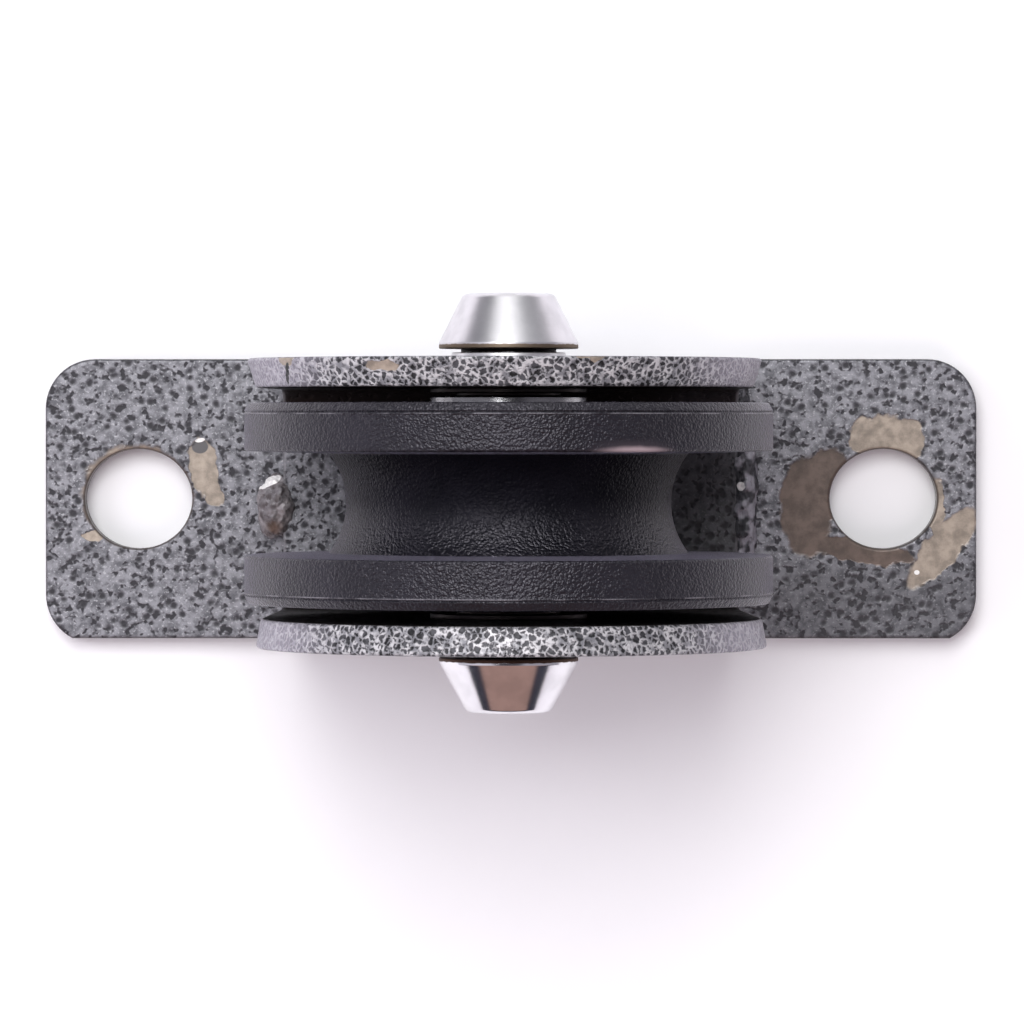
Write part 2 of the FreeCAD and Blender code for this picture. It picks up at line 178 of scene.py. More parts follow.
def fill(flat, loops):
    """Faces over the first loop of point numbers, less the other loops."""
    if len(loops) == 1 and len(loops[0]) == 4:
        return [loops[0]]
    used = [index for loop in loops for index in loop]
    local = {index: number for number, index in enumerate(used)}
    numbered = [[local[index] for index in loop] for loop in loops]
    triangles = delaunay_2d_cdt([flat[index] for index in used], [], numbered, 2, 1e-6)[2]
    return [[used[number] for number in triangle] for triangle in triangles]


def sheet_metal(outlines, thickness, place, panels=None, edge_r=EDGE_R, edge_steps=4):
    """A bmesh of a sheet with rounded edges, cut to the outlines and formed by place.
    The first outline is the rim, anticlockwise, and the others are holes, clockwise.
    place(u, v, depth) gives the point at a depth below the sheet's face. panels are the parts
    that the face is filled in, each a list of loops, for a sheet that bends between them."""
    marked_r = edge_r * 0.6
    solid = bmesh.new()
    rim_mark = solid.verts.layers.float.new("rim")
    bore_mark = solid.verts.layers.float.new("bore")
    flat = [point / MM for outline in outlines for point in inset_outline(outline, edge_r)]
    if panels is None:
        starts = [sum(len(outline) for outline in outlines[:n]) for n in range(len(outlines))]
        panels = [[list(range(start, start + len(outline)))
                   for start, outline in zip(starts, outlines)]]
    filled = [face for loops in panels for face in fill(flat, loops)]
    angles = [math.pi / 2 * step / edge_steps for step in range(edge_steps + 1)]
    levels = [(edge_r * (1 - math.sin(a)), edge_r * (1 - math.cos(a))) for a in angles]
    levels += [(inset, thickness - depth) for inset, depth in reversed(levels)]
    first_face = []
    last_face = []
    for number, outline in enumerate(outlines):
        rings = []
        for inset, depth in levels:
            ring = []
            for point in inset_outline(outline, inset):
                vertex = solid.verts.new(place(point.x, point.y, depth))
                on_edge = 1.0 if inset < marked_r else 0.0
                vertex[rim_mark if number == 0 else bore_mark] = on_edge
                ring.append(vertex)
            rings.append(ring)
        for upper, lower in zip(rings, rings[1:]):
            for i in range(len(upper)):
                after = (i + 1) % len(upper)
                solid.faces.new((upper[i], upper[after], lower[after], lower[i]))
        first_face += rings[0]
        last_face += rings[-1]
    for face in filled:
        solid.faces.new([first_face[i] for i in face])
        solid.faces.new([last_face[i] for i in reversed(face)])
    return solid


# ---------------------------------------------------------------- shader graphs

class NodeTree:
    """Adds nodes to a tree. Every method but feed and add gives back an output socket."""

    def __init__(self, tree):
        self.tree = tree

    def add(self, kind, **settings):
        node = self.tree.nodes.new(kind)
        for setting, value in settings.items():
            setattr(node, setting, value)
        return node

    def feed(self, socket, value):
        """Links a socket to a socket, or sets its value."""
        if isinstance(value, bpy.types.NodeSocket):
            self.tree.links.new(value, socket)
        else:
            socket.default_value = value

    def math(self, operation, first, second):
        node = self.add("ShaderNodeMath", operation=operation)
        self.feed(node.inputs[0], first)
        self.feed(node.inputs[1], second)
        return node.outputs[0]

    def mix(self, share, first, second, kind="RGBA"):
        """The first colour at a share of 0, and the second at 1."""
        node = self.add("ShaderNodeMix", data_type=kind)
        self.feed(node.inputs["Factor"], share)
        self.feed(node.inputs["A"], first)
        self.feed(node.inputs["B"], second)
        return node.outputs["Result"]

    def blend(self, share, first, second):
        """The first number at a share of 0, and the second at 1."""
        return self.mix(share, first, second, "FLOAT")

    def step(self, value, low, high):
        """0 below low, 1 above high, smooth between."""
        node = self.add("ShaderNodeMapRange", interpolation_type="SMOOTHSTEP")
        self.feed(node.inputs["Value"], value)
        node.inputs["From Min"].default_value = low
        node.inputs["From Max"].default_value = high
        return node.outputs["Result"]

    def below(self, value, low, high):
        """1 below low, 0 above high, smooth between."""
        return self.math("SUBTRACT", 1.0, self.step(value, low, high))

    def both(self, first, *others):
        """The product of masks."""
        for other in others:
            first = self.math("MULTIPLY", first, other)
        return first

    def any_of(self, masks):
        """The highest of masks."""
        total = masks[0]
        for mask in masks[1:]:
            total = self.math("MAXIMUM", total, mask)
        return total


class Graph(NodeTree):
    """A material's nodes, on the object's own coordinates. Sizes are in millimetres."""

    def __init__(self, name):
        self.material = bpy.data.materials.new(name)
        self.material.use_nodes = True
        super().__init__(self.material.node_tree)
        self.shader = self.tree.nodes["Principled BSDF"]
        self.place = self.add("ShaderNodeTexCoord").outputs["Object"]

    def set(self, **values):
        """Sets or links the shader's own sockets, with underscores for spaces."""
        for name, value in values.items():
            self.feed(self.shader.inputs[name.replace("_", " ")], value)

    def axis(self, number):
        """One of the object's coordinates."""
        split = self.add("ShaderNodeSeparateXYZ")
        self.feed(split.inputs[0], self.place)
        return split.outputs[number]

    def away(self, number):
        """The distance from the middle along one axis."""
        return self.math("ABSOLUTE", self.axis(number), 0.0)

    def mark(self, layer):
        """One of the mesh's own float layers."""
        return self.add("ShaderNodeAttribute", attribute_name=layer).outputs["Fac"]

    def noise(self, size, detail=2.0, rough=0.5, coords=None):
        """A noise node whose lumps are about size across."""
        node = self.add("ShaderNodeTexNoise")
        self.feed(node.inputs["Vector"], coords or self.place)
        node.inputs["Scale"].default_value = 1 / (size * MM)
        node.inputs["Detail"].default_value = detail
        node.inputs["Roughness"].default_value = rough
        return node

    def grain(self, *settings):
        """Noise from 0 to 1."""
        return self.noise(*settings).outputs["Fac"]

    def cells(self, size, coords, feature="F1"):
        """The distance from a cell's middle, or from its edge."""
        node = self.add("ShaderNodeTexVoronoi", feature=feature)
        self.feed(node.inputs["Vector"], coords)
        node.inputs["Scale"].default_value = 1 / (size * MM)
        return node.outputs["Distance"]

    def wander(self, size, reach):
        """The object's coordinates, pushed about by noise."""
        centred = self.add("ShaderNodeVectorMath", operation="SUBTRACT")
        self.feed(centred.inputs[0], self.noise(size).outputs["Color"])
        centred.inputs[1].default_value = (0.5, 0.5, 0.5)
        shove = self.add("ShaderNodeVectorMath", operation="SCALE")
        self.feed(shove.inputs[0], centred.outputs[0])
        shove.inputs["Scale"].default_value = reach * MM * 2
        total = self.add("ShaderNodeVectorMath", operation="ADD")
        self.feed(total.inputs[0], self.place)
        self.feed(total.inputs[1], shove.outputs[0])
        return total.outputs[0]

    def squeeze(self, factors):
        """Coordinates scaled along each axis, to stretch a texture."""
        node = self.add("ShaderNodeVectorMath", operation="MULTIPLY")
        self.feed(node.inputs[0], self.place)
        node.inputs[1].default_value = factors
        return node.outputs[0]

    def patch(self, coords, centre, radii, lean=0.0, core=0.9):
        """1 inside an ellipsoid that leans by an angle about +Z, 0 outside.
        core is the share of it that is whole, and the rest of it fades."""
        node = self.add("ShaderNodeMapping", vector_type="TEXTURE")
        self.feed(node.inputs["Vector"], coords)
        node.inputs["Location"].default_value = [c * MM for c in centre]
        node.inputs["Rotation"].default_value = (0, 0, math.radians(lean))
        node.inputs["Scale"].default_value = [r * MM for r in radii]
        length = self.add("ShaderNodeVectorMath", operation="LENGTH")
        self.feed(length.inputs[0], node.outputs[0])
        return self.below(length.outputs["Value"], core, 1.05)

    def bump(self, height, depth, strength):
        """A bump of a real depth."""
        node = self.add("ShaderNodeBump")
        node.inputs["Strength"].default_value = strength
        node.inputs["Distance"].default_value = depth * MM
        self.feed(node.inputs["Height"], height)
        self.feed(self.shader.inputs["Normal"], node.outputs[0])


# ---------------------------------------------------------------- materials

PARTING_Y = SHEAVE_HIGH.y - 0.95 * MM
RIDGE_AWAY = 0.16 * MM
BARE_STEEL = (0.30, 0.25, 0.205, 1)
BROWN_STEEL = (0.105, 0.075, 0.062, 1)
GRAZING_REFLECTION_LAVENDER = (0.36, 0.34, 0.40, 1)


def shades(colour, dark, light):
    """A darker and a lighter shade of a colour."""
    return [[c * share for c in colour[:3]] + [1] for share in (dark, light)]


def hammer_look(graph):
    """(colour, pit mask) of silver paint that has drawn up into small dark pits."""
    drift = graph.wander(0.9, 0.2)
    pits = graph.step(graph.grain(0.68, 1.2, 0.45, drift), 0.54, 0.68)
    holes = graph.below(graph.cells(1.35, drift), 0.12, 0.42)
    pits = graph.any_of([pits, holes])
    cloud = graph.step(graph.grain(0.9, 3.0, 0.6), 0.3, 0.66)
    silver = graph.mix(cloud, (0.085, 0.085, 0.098, 1), (0.25, 0.25, 0.275, 1))
    glint = graph.step(graph.grain(0.3, 1.0), 0.58, 0.72)
    silver = graph.mix(graph.both(glint, 0.45), silver, (0.58, 0.58, 0.61, 1))
    return graph.mix(pits, silver, (0.025, 0.024, 0.03, 1)), pits


def worn_away(graph, colour, patches, worn_colour):
    """The colour with bare patches, and their mask."""
    torn = graph.wander(1.5, 0.75)
    mask = graph.any_of([graph.patch(torn, *patch) for patch in patches])
    cloud = graph.step(graph.grain(1.6, 4.0, 0.65), 0.3, 0.7)
    stain = graph.mix(cloud, *shades(worn_colour, 0.7, 1.35))
    return graph.mix(mask, colour, stain), mask


def paint_relief(graph, pits, worn):
    """Pits sink below the paint, and the bare metal lies deeper than the paint round it."""
    relief = graph.blend(worn, graph.math("SUBTRACT", 1.0, pits), 0.1)
    graph.set(Roughness=graph.blend(worn, graph.blend(pits, 0.4, 0.55), 0.33))
    graph.bump(relief, 0.09, 0.75)


def plate_paint():
    """The base plate's paint, worn through round both fixing holes."""
    graph = Graph("plate_paint")
    colour, pits = hammer_look(graph)
    # The right front of the plate is painted darker, as painted shade cast by the bracket with the light from the
    # left.
    painted_shade_right_corner = graph.both(graph.step(graph.axis(0), 18 * MM, 34 * MM),
                       graph.below(graph.axis(1), -10 * MM, -3 * MM), 0.5)
    colour = graph.mix(painted_shade_right_corner, colour, (0.035, 0.033, 0.038, 1))
    # The plate's rim is painted darker all round, as painted shade on its rounded edge.
    colour = graph.mix(graph.both(graph.mark("rim"), 0.8), colour, (0.035, 0.032, 0.037, 1))
    brown = [
        ((31.8, -0.8, 3), (2.9, 5.6, 4)),
        ((34.2, 2.0, 3), (2.6, 3.4, 4)),
        ((37.5, -5.6, 3), (6.0, 1.3, 4), -8),
        ((-40.1, 0.2, 3), (5.95, 5.6, 4)),
    ]
    bare = [
        ((40.3, 6.6, 3), (4.0, 2.4, 4), -3),
        ((37.9, 6.7, 3), (1.7, 2.2, 4)),
        ((42.6, 6.3, 3), (1.9, 2.4, 4)),
        ((46.4, -5.2, 3), (5.4, 1.9, 4), 50),
        ((45.7, -1.0, 3), (0.9, 3.2, 4)),
        ((-33.0, 3.4, 3), (1.6, 3.2, 4), 8),
        ((-32.0, 0.6, 3), (1.0, 1.5, 4), 20),
        ((-40.5, 0.5, 3), (5.55, 5.2, 4)),
        ((-44.9, -3.9, 3), (1.0, 0.7, 4)),
    ]
    colour, worn_brown = worn_away(graph, colour, brown, BROWN_STEEL)
    colour, worn_bare = worn_away(graph, colour, bare, BARE_STEEL)
    blot = graph.patch(graph.place, (-33.4, 5.6, 3), (0.9, 0.75, 4))
    colour = graph.mix(blot, colour, (0.09, 0.085, 0.09, 1))
    specks = graph.any_of([
        graph.patch(graph.place, (-33.4, 6.3, 3), (0.55, 0.22, 4), 10),
        graph.patch(graph.place, (43.6, -7.9, 3), (0.3, 0.25, 4)),
    ])
    colour = graph.mix(specks, colour, (0.9, 0.88, 0.86, 1))
    colour = graph.mix(graph.both(graph.mark("bore"), 0.85), colour, (0.07, 0.055, 0.05, 1))
    graph.set(Base_Color=colour, Metallic=0.2)
    paint_relief(graph, pits, graph.any_of([worn_brown, worn_bare]))
    return graph.material


def bracket_paint():
    """The bracket's paint, with painted shade inside the bends and towards the web's right, painted light on the
    web's edges, and a fine bright net on the cut edges that turns to a painted reflection towards the cheeks'
    ends.
    """
    graph = Graph("bracket_paint")
    face, pits = hammer_look(graph)
    x = graph.away(0)
    y = graph.away(1)
    z = graph.axis(2)
    # Inside the bends and on the cheeks' inner faces the paint is near black, as painted shade in the narrow gaps
    # beside the sheave.
    painted_shade_inside = graph.both(graph.step(y, 8.0 * MM, 9.0 * MM),
                        graph.below(y, CHEEK_INSIDE + 0.04 * MM, CHEEK_INSIDE + 0.2 * MM),
                        graph.step(z, 5.0 * MM, 5.7 * MM))
    face = graph.mix(painted_shade_inside, face, (0.012, 0.009, 0.009, 1))
    web = graph.both(graph.below(z, 8 * MM, 12 * MM), graph.below(y, 11.2 * MM, 11.8 * MM))
    # Towards the right the web is painted darker, as painted shade under the sheave with the light from the left.
    dim = graph.both(graph.step(graph.axis(0), 14 * MM, 19 * MM), web, 0.8)
    face = graph.mix(dim, face, (0.02, 0.019, 0.022, 1))
    # The web's edges are painted an even lighter grey, as painted light over the shade of their step.
    web_edge_painted_light = graph.both(graph.step(x, 23.9 * MM, 24.2 * MM), web, 0.7)
    face = graph.mix(web_edge_painted_light, face, (0.17, 0.165, 0.175, 1))

    net = graph.cells(0.68, graph.wander(0.7, 0.2), "DISTANCE_TO_EDGE")
    uneven = graph.math("SUBTRACT", graph.grain(0.36, 2.0), 0.5)
    net = graph.math("ADD", net, graph.both(uneven, 0.7))
    cell = graph.step(net, 0.04, 0.24)
    tone = graph.step(graph.grain(0.9, 2.0), 0.35, 0.65)
    cell_colour = graph.mix(tone, (0.006, 0.006, 0.008, 1), (0.075, 0.075, 0.085, 1))
    vein_colour = graph.mix(tone, (0.20, 0.20, 0.22, 1), (0.55, 0.54, 0.56, 1))
    edge = graph.mix(cell, vein_colour, cell_colour)
    # Towards the cheeks' ends the cut edges turn lavender, a painted reflection of the pale floor at grazing
    # angles.
    far = graph.both(graph.step(x, 16 * MM, 23.5 * MM), 0.68)
    edge = graph.mix(far, edge, GRAZING_REFLECTION_LAVENDER)
    tan_chips = [
        ((-12.3, 13.7, 61), (1.9, 0.6, 8)),
        ((8.3, 14.5, 61), (1.7, 0.3, 8)),
        ((-22.0, 14.4, 50), (0.7, 0.6, 9)),
    ]
    edge, worn = worn_away(graph, edge, tan_chips, BARE_STEEL)
    crack = graph.patch(graph.wander(0.7, 0.25), (-21.9, 13.1, 50), (0.2, 1.1, 9))
    edge = graph.mix(crack, edge, (0.01, 0.01, 0.012, 1))
    rim = graph.both(graph.mark("rim"), graph.step(z, 9 * MM, 13 * MM))
    graph.set(Base_Color=graph.mix(rim, face, edge), Metallic=0.2)
    paint_relief(graph, graph.blend(rim, pits, graph.both(cell, 1.3)), graph.both(worn, rim))
    return graph.material


def weld_paint(name, dark, light, cover, stain, highlight_streak):
    """Paint over weld metal, lumpy from dark to light, with a rusty stain and a painted highlight streak."""
    graph = Graph(name)
    colour, pits = hammer_look(graph)
    lumps = graph.step(graph.grain(1.9, 2.0, 0.5), 0.44, 0.58)
    colour = graph.mix(cover, colour, graph.mix(lumps, dark, light))
    colour, worn = worn_away(graph, colour, [stain], (0.11, 0.075, 0.06, 1))
    # The white streak is a painted highlight on the bead's top.
    weld_painted_highlight = graph.patch(graph.wander(0.8, 0.2), *highlight_streak)
    colour = graph.mix(weld_painted_highlight, colour, (0.95, 0.93, 0.92, 1))
    graph.set(Base_Color=colour, Metallic=0.25)
    paint_relief(graph, pits, graph.any_of([worn, weld_painted_highlight]))
    return graph.material


def black_nylon():
    """Moulded nylon with a spark-eroded grain that glints, painted highlights along the parting ridges and at one
    flange's edge, where the grain is also smoothed, and painted shade across the groove's upper part.
    """
    graph = Graph("black_nylon")
    pebbles = graph.cells(0.34, graph.wander(0.5, 0.12))
    grit = graph.math("ADD", graph.grain(0.19, 1.0, 0.5), graph.both(pebbles, -0.9))
    cloud = graph.step(graph.grain(5.0, 3.0), 0.3, 0.7)
    body = graph.mix(cloud, (0.004, 0.004, 0.0065, 1), (0.0075, 0.007, 0.011, 1))
    # Along each parting ridge a broken lighter line is painted, as a painted highlight on the ridge.
    off_ridge = graph.math("SUBTRACT", graph.away(1), PARTING_Y - RIDGE_AWAY)
    off_ridge = graph.math("ABSOLUTE", off_ridge, 0.0)
    broken = graph.step(graph.grain(4.0, 3.0, 0.6), 0.42, 0.62)
    line = graph.both(graph.below(off_ridge, 0.02 * MM, 0.10 * MM), broken, 0.45)
    body = graph.mix(line, body, (0.30, 0.29, 0.32, 1))
    # At one flange's lower edge the grain is smoothed away and a pinkish highlight is painted on, inside a fainter
    # painted glow.
    flange_painted_highlight = graph.patch(graph.wander(1.5, 0.12), (12.9, 5.45, 60.0), (5.2, 0.55, 4.0), 0, 0.2)
    worn = graph.patch(graph.wander(1.5, 0.2), (12.9, 5.5, 60.0), (7.0, 1.3, 4.0), 0, 0.2)
    colour = graph.mix(graph.both(worn, 0.35), body, (0.09, 0.07, 0.08, 1))
    colour = graph.mix(graph.both(flange_painted_highlight, 0.8), colour, (0.40, 0.31, 0.33, 1))
    y = graph.axis(1)
    # Across the groove's upper part the reflection is cut almost away, as painted shade under the rear flange.
    groove_painted_shade = graph.both(graph.step(y, -4.4 * MM, 0.8 * MM), graph.below(y, 4.9 * MM, 5.2 * MM))
    graph.set(Base_Color=colour, Roughness=graph.blend(worn, 0.31, 0.3))
    graph.set(Specular_IOR_Level=graph.blend(groove_painted_shade, 0.56, 0.08))
    graph.set(Specular_Tint=(0.93, 0.89, 1.0, 1))
    graph.set(Sheen_Weight=0.22, Sheen_Roughness=0.18, Sheen_Tint=(0.80, 0.74, 0.98, 1))
    graph.bump(graph.both(grit, graph.math("SUBTRACT", 1.0, worn)), 0.09, 1.0)
    return graph.material


def turned_steel(name, colour, roughness, depth=0.004, metallic=1.0, painted_shade_band=None):
    """Steel with fine turning marks round the axle line and a faint stain.
    The last argument is (near, far, colour): how far from the middle along the axle a band of painted shade lies."""
    graph = Graph(name)
    marks = graph.grain(0.12, 2.0, 0.5, graph.squeeze((0.05, 1.0, 0.05)))
    stain = graph.grain(2.5, 3.0)
    darker = [c * 0.86 for c in colour[:3]] + [1]
    tint = graph.mix(graph.step(stain, 0.35, 0.7), colour, darker)
    rough = graph.blend(stain, roughness, roughness * 1.5)
    # The band is painted shade where a cone's rim and a washer's narrow half lie in shade against each other.
    if painted_shade_band:
        near, far, shade_colour = painted_shade_band
        y = graph.math("ADD", graph.away(1), graph.both(graph.grain(0.8, 3.0), 0.25 * MM))
        ring = graph.both(graph.step(y, near * MM, (near + 0.06) * MM),
                          graph.below(y, far * MM, (far + 0.1) * MM))
        tint = graph.mix(ring, tint, shade_colour)
        rough = graph.blend(ring, rough, 0.5)
    graph.set(Base_Color=tint, Metallic=metallic, Roughness=rough)
    graph.bump(marks, depth, 0.8)
    return graph.material


# ---------------------------------------------------------------- sheet pieces

PLATE_CORNER_R = 5.3 * MM
FRONT_SHEAR = 0.6 * MM
HOLE_SQUASH = 0.93
BEND_START = CHEEK_INSIDE - BEND_R
MIDDLE_LENGTH = math.pi / 2 * (BEND_R + SHEET / 2)
BEND_TOP = PLATE_TOP + SHEET + BEND_R
CHEEK_START = BEND_START + MIDDLE_LENGTH
CHEEK_CENTRE = CHEEK_START + AXLE_Z - BEND_TOP
SIDE_REACH = math.hypot(WEB_HALF, AXLE_Z - PLATE_TOP)
SIDE_TAPER = math.atan2(AXLE_Z - PLATE_TOP, WEB_HALF) - math.acos(CHEEK_R / SIDE_REACH)
PLATE_HOLE_STEPS = 72
AXLE_HOLE_STEPS = 48
BEND_STEPS = 8
CHEEK_ROUND_STEPS = 220
# The blanking left each cheek's edge leaning. For the front (-1) and the rear (1): how much further
# out the edge stands on the outer face, and how far the cheek stands to the side.
CHEEK_FLARE = {-1: (0.55 * MM, 0.28 * MM), 1: (0.9 * MM, -0.4 * MM)}


def hole_outline(centre, radius, steps, squash=1.0):
    """A round hole's outline, clockwise, or an oval one that is lower than it is wide."""
    points = arc_points((centre[0], 0), radius, 0, -2 * math.pi, steps)[:-1]
    return [Vector((point.x, centre[1] + point.y * squash)) for point in points]


def flat_sheet(u, v, depth):
    """The place of a point of the plate."""
    return (u, v, PLATE_TOP - depth)


def make_base_plate(material):
    """The plate. Its front edge is sheared after the corners are rounded, so they end short."""
    middle_x = PLATE_HIGH.x - PLATE_CORNER_R
    rear_y = PLATE_HIGH.y - PLATE_CORNER_R
    front_y = PLATE_LOW.y - FRONT_SHEAR + PLATE_CORNER_R
    cut_angle = math.asin((front_y - PLATE_LOW.y) / PLATE_CORNER_R)
    rim = arc_points((middle_x, front_y), PLATE_CORNER_R, -cut_angle, 0, 10)
    rim += arc_points((middle_x, rear_y), PLATE_CORNER_R, 0, math.pi / 2, 14)
    rim += arc_points((-middle_x, rear_y), PLATE_CORNER_R, math.pi / 2, math.pi, 14)
    rim += arc_points((-middle_x, front_y), PLATE_CORNER_R, math.pi, math.pi + cut_angle, 10)
    holes = [hole_outline((x, 0), HOLE_R, PLATE_HOLE_STEPS, HOLE_SQUASH)
             for x in (-HOLE_X, HOLE_X)]
    plate = sheet_metal([rim] + holes, SHEET, flat_sheet)
    piece_from("base_plate_painted", plate, material, "bracket", "base_plate")


def half_width(z):
    """Half the bracket's width at a height below the cheek's round top."""
    return WEB_HALF + (z - PLATE_TOP) * math.tan(SIDE_TAPER)


def bend_turn(u):
    """How far the sheet has turned, in radians, at a distance from the blank's middle."""
    return (u - BEND_START) / MIDDLE_LENGTH * math.pi / 2


def bent_sheet(v, u, depth):
    """The place of a point of the bracket's blank once the two cheeks are bent up."""
    side = 1 if u > 0 else -1
    u = abs(u)
    if u <= BEND_START:
        return (v, side * u, PLATE_TOP + SHEET - depth)
    if u >= CHEEK_START:
        rise = u - CHEEK_CENTRE
        out = min((v * v + rise * rise) / CHEEK_R ** 2, 1.0)
        out *= min((u - CHEEK_START) / (CHEEK_CENTRE - CHEEK_START), 1.0)
        flare, shift = CHEEK_FLARE[side]
        grow = 1 + flare * (depth / SHEET - 0.5) / CHEEK_R * out
        return (v * grow + shift * out, side * (CHEEK_INSIDE + depth), AXLE_Z + rise * grow)
    turn = bend_turn(u)
    radius = BEND_R + depth
    return (v, side * (BEND_START + radius * math.sin(turn)), BEND_TOP - radius * math.cos(turn))


def make_u_bracket(material):
    """The U bracket, cut flat as two round cheeks on a narrower web and then bent."""
    middle_r = BEND_R + SHEET / 2
    bend = [BEND_START + MIDDLE_LENGTH * step / BEND_STEPS for step in range(BEND_STEPS + 1)]
    right = []
    for u in [-u for u in reversed(bend)] + bend:
        z = BEND_TOP - middle_r * math.cos(bend_turn(abs(u)))
        right.append(Vector((half_width(z), u)))
    front = arc_points((0, -CHEEK_CENTRE), CHEEK_R, math.pi - SIDE_TAPER,
                       2 * math.pi + SIDE_TAPER, CHEEK_ROUND_STEPS)
    rear = arc_points((0, CHEEK_CENTRE), CHEEK_R, -SIDE_TAPER, math.pi + SIDE_TAPER,
                      CHEEK_ROUND_STEPS)
    left = [Vector((-point.x, point.y)) for point in reversed(right)]
    rim = front + right + rear + left
    holes = [hole_outline((0, u), CLEARANCE_R, AXLE_HOLE_STEPS)
             for u in (-CHEEK_CENTRE, CHEEK_CENTRE)]
    first_right = len(front)
    last_right = first_right + len(right) - 1
    first_left = last_right + len(rear) + 1
    last_left = len(rim) - 1
    hole_loops = [list(range(start, start + AXLE_HOLE_STEPS))
                  for start in (len(rim), len(rim) + AXLE_HOLE_STEPS)]
    panels = [
        [[last_left] + list(range(first_right + 1)), hole_loops[0]],
        [list(range(last_right, first_left + 1)), hole_loops[1]],
    ]
    for step in range(len(right) - 1):
        low = first_right + step
        panels.append([[low, low + 1, last_left - step - 1, last_left - step]])
    bracket = sheet_metal([rim] + holes, SHEET, bent_sheet, panels)
    piece_from("u_bracket_painted", bracket, material, "bracket", "u_bracket")


def make_weld(hand, material, centre, reach, lumps, seed):
    """A lumpy bead of weld metal, sunk into the plate and the web's edge.
    centre, reach and the size of the lumps are in millimetres."""
    sunk = 0.2 * MM
    unevenness = 0.22
    fineness, spacing, octaves = 0.9, 2.1, 4
    blob = bmesh.new()
    bmesh.ops.create_icosphere(blob, subdivisions=6, radius=1.0)
    for vertex in blob.verts:
        out = vertex.co.normalized()
        place = Vector((out.x * reach[0], out.y * reach[1], out.z * reach[2])) * MM
        sample = place / MM / lumps + Vector((seed, 0, 0))
        swell = noise.fractal(sample, fineness, spacing, octaves, noise_basis="PERLIN_ORIGINAL")
        place *= 1 + unevenness * swell
        place += Vector(centre) * MM
        place.z = max(place.z, PLATE_TOP - sunk)
        vertex.co = place
    piece_from(f"weld_bead_{hand}_lumpy", blob, material, "bracket",
               f"weld_bead_{hand}")


# ---------------------------------------------------------------- turned pieces

def ring_profile(low, high, inner_r, outer_r, chamfer):
    """A ring's section, with its four corners rounded."""
    corners = [(low, inner_r, chamfer), (high, inner_r, chamfer),
               (high, outer_r, chamfer), (low, outer_r, chamfer)]
    return [tuple(point) for point in rounded_corners(corners, 4)]


def make_ring(name, material, node, inner_r=CLEARANCE_R, body="bracket",
              chamfer=0.08 * MM):
    """A washer or plain ring that fills its node's box."""
    low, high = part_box(node)
    ring = lathe(ring_profile(low.y, high.y, inner_r, high.x, chamfer))
    piece_from(name, ring, material, body, node)


RACE_R = 1.06 * MM
RACE_DEPTH = 0.33 * MM
RACE_HALF_STEPS = 6
SHIELD_BORE_R = 5.45 * MM
SHIELD_R = 7.1 * MM
SHEAVE_STEPS = 420
HEAD_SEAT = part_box("head_washer_rear")[1].y
HEAD_RIM = 0.6 * MM
SOCKET_ACROSS_FLATS = 4.0 * MM
SOCKET_MOUTH_R = 2.62 * MM
SOCKET_DEPTH = 3.0 * MM


def groove_points(middle, land_r, outwards):
    """The ball groove in a ring's land: an arc that bulges outwards (1) or inwards (-1)."""
    half = math.sqrt(RACE_R ** 2 - (RACE_R - RACE_DEPTH) ** 2)
    spread = math.asin(half / RACE_R)
    return [
        (middle + RACE_R * math.sin(angle),
         land_r - outwards * (RACE_R - RACE_DEPTH) + outwards * RACE_R * math.cos(angle))
        for angle in [spread * (step / RACE_HALF_STEPS - 1)
                      for step in range(2 * RACE_HALF_STEPS + 1)]
    ]


def make_inner_race(name, material, node):
    """The inner ring, tight on the axle, with the ball groove outside."""
    low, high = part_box(node)
    land_r = high.x
    bore_r = SHANK_R
    corner = 0.15 * MM
    groove = groove_points((low.y + high.y) / 2, land_r, -1)
    profile = [(high.y, bore_r), (low.y, bore_r), (low.y, land_r - corner),
               (low.y + corner, land_r)]
    profile += groove + [(high.y - corner, land_r), (high.y, land_r - corner)]
    piece_from(name, lathe(profile), material, "bracket", node)


def make_outer_race(name, material, node):
    """The outer ring, with a step at each face where a shield sits."""
    low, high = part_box(node)
    land_r = 6.7 * MM
    seat_r = SHIELD_R
    seat_depth = 0.45 * MM
    corner = 0.2 * MM
    groove = groove_points((low.y + high.y) / 2, land_r, 1)
    profile = [(high.y, seat_r), (high.y, high.x - corner), (high.y - corner, high.x),
               (low.y + corner, high.x), (low.y, high.x - corner), (low.y, seat_r),
               (low.y + seat_depth, seat_r), (low.y + seat_depth, land_r)]
    profile += groove + [(high.y - seat_depth, land_r), (high.y - seat_depth, seat_r)]
    piece_from(name, lathe(profile), material, "sheave", node)


def make_head_washer(name, material, node, side):
    """A washer whose outer half is narrower, where it meets the cone."""
    low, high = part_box(node)
    near, far = sorted((abs(low.y), abs(high.y)))
    step = near + 0.6 * MM
    neck_r = 4.85 * MM
    corners = [(near, CLEARANCE_R, 0), (far, CLEARANCE_R, 0), (far, neck_r, 0.05 * MM),
               (step, neck_r, 0), (step, high.x, 0.12 * MM), (near, high.x, 0.08 * MM)]
    profile = [(side * point.x, point.y) for point in rounded_corners(corners, 4)]
    piece_from(name, lathe(profile), material, "bracket", node)


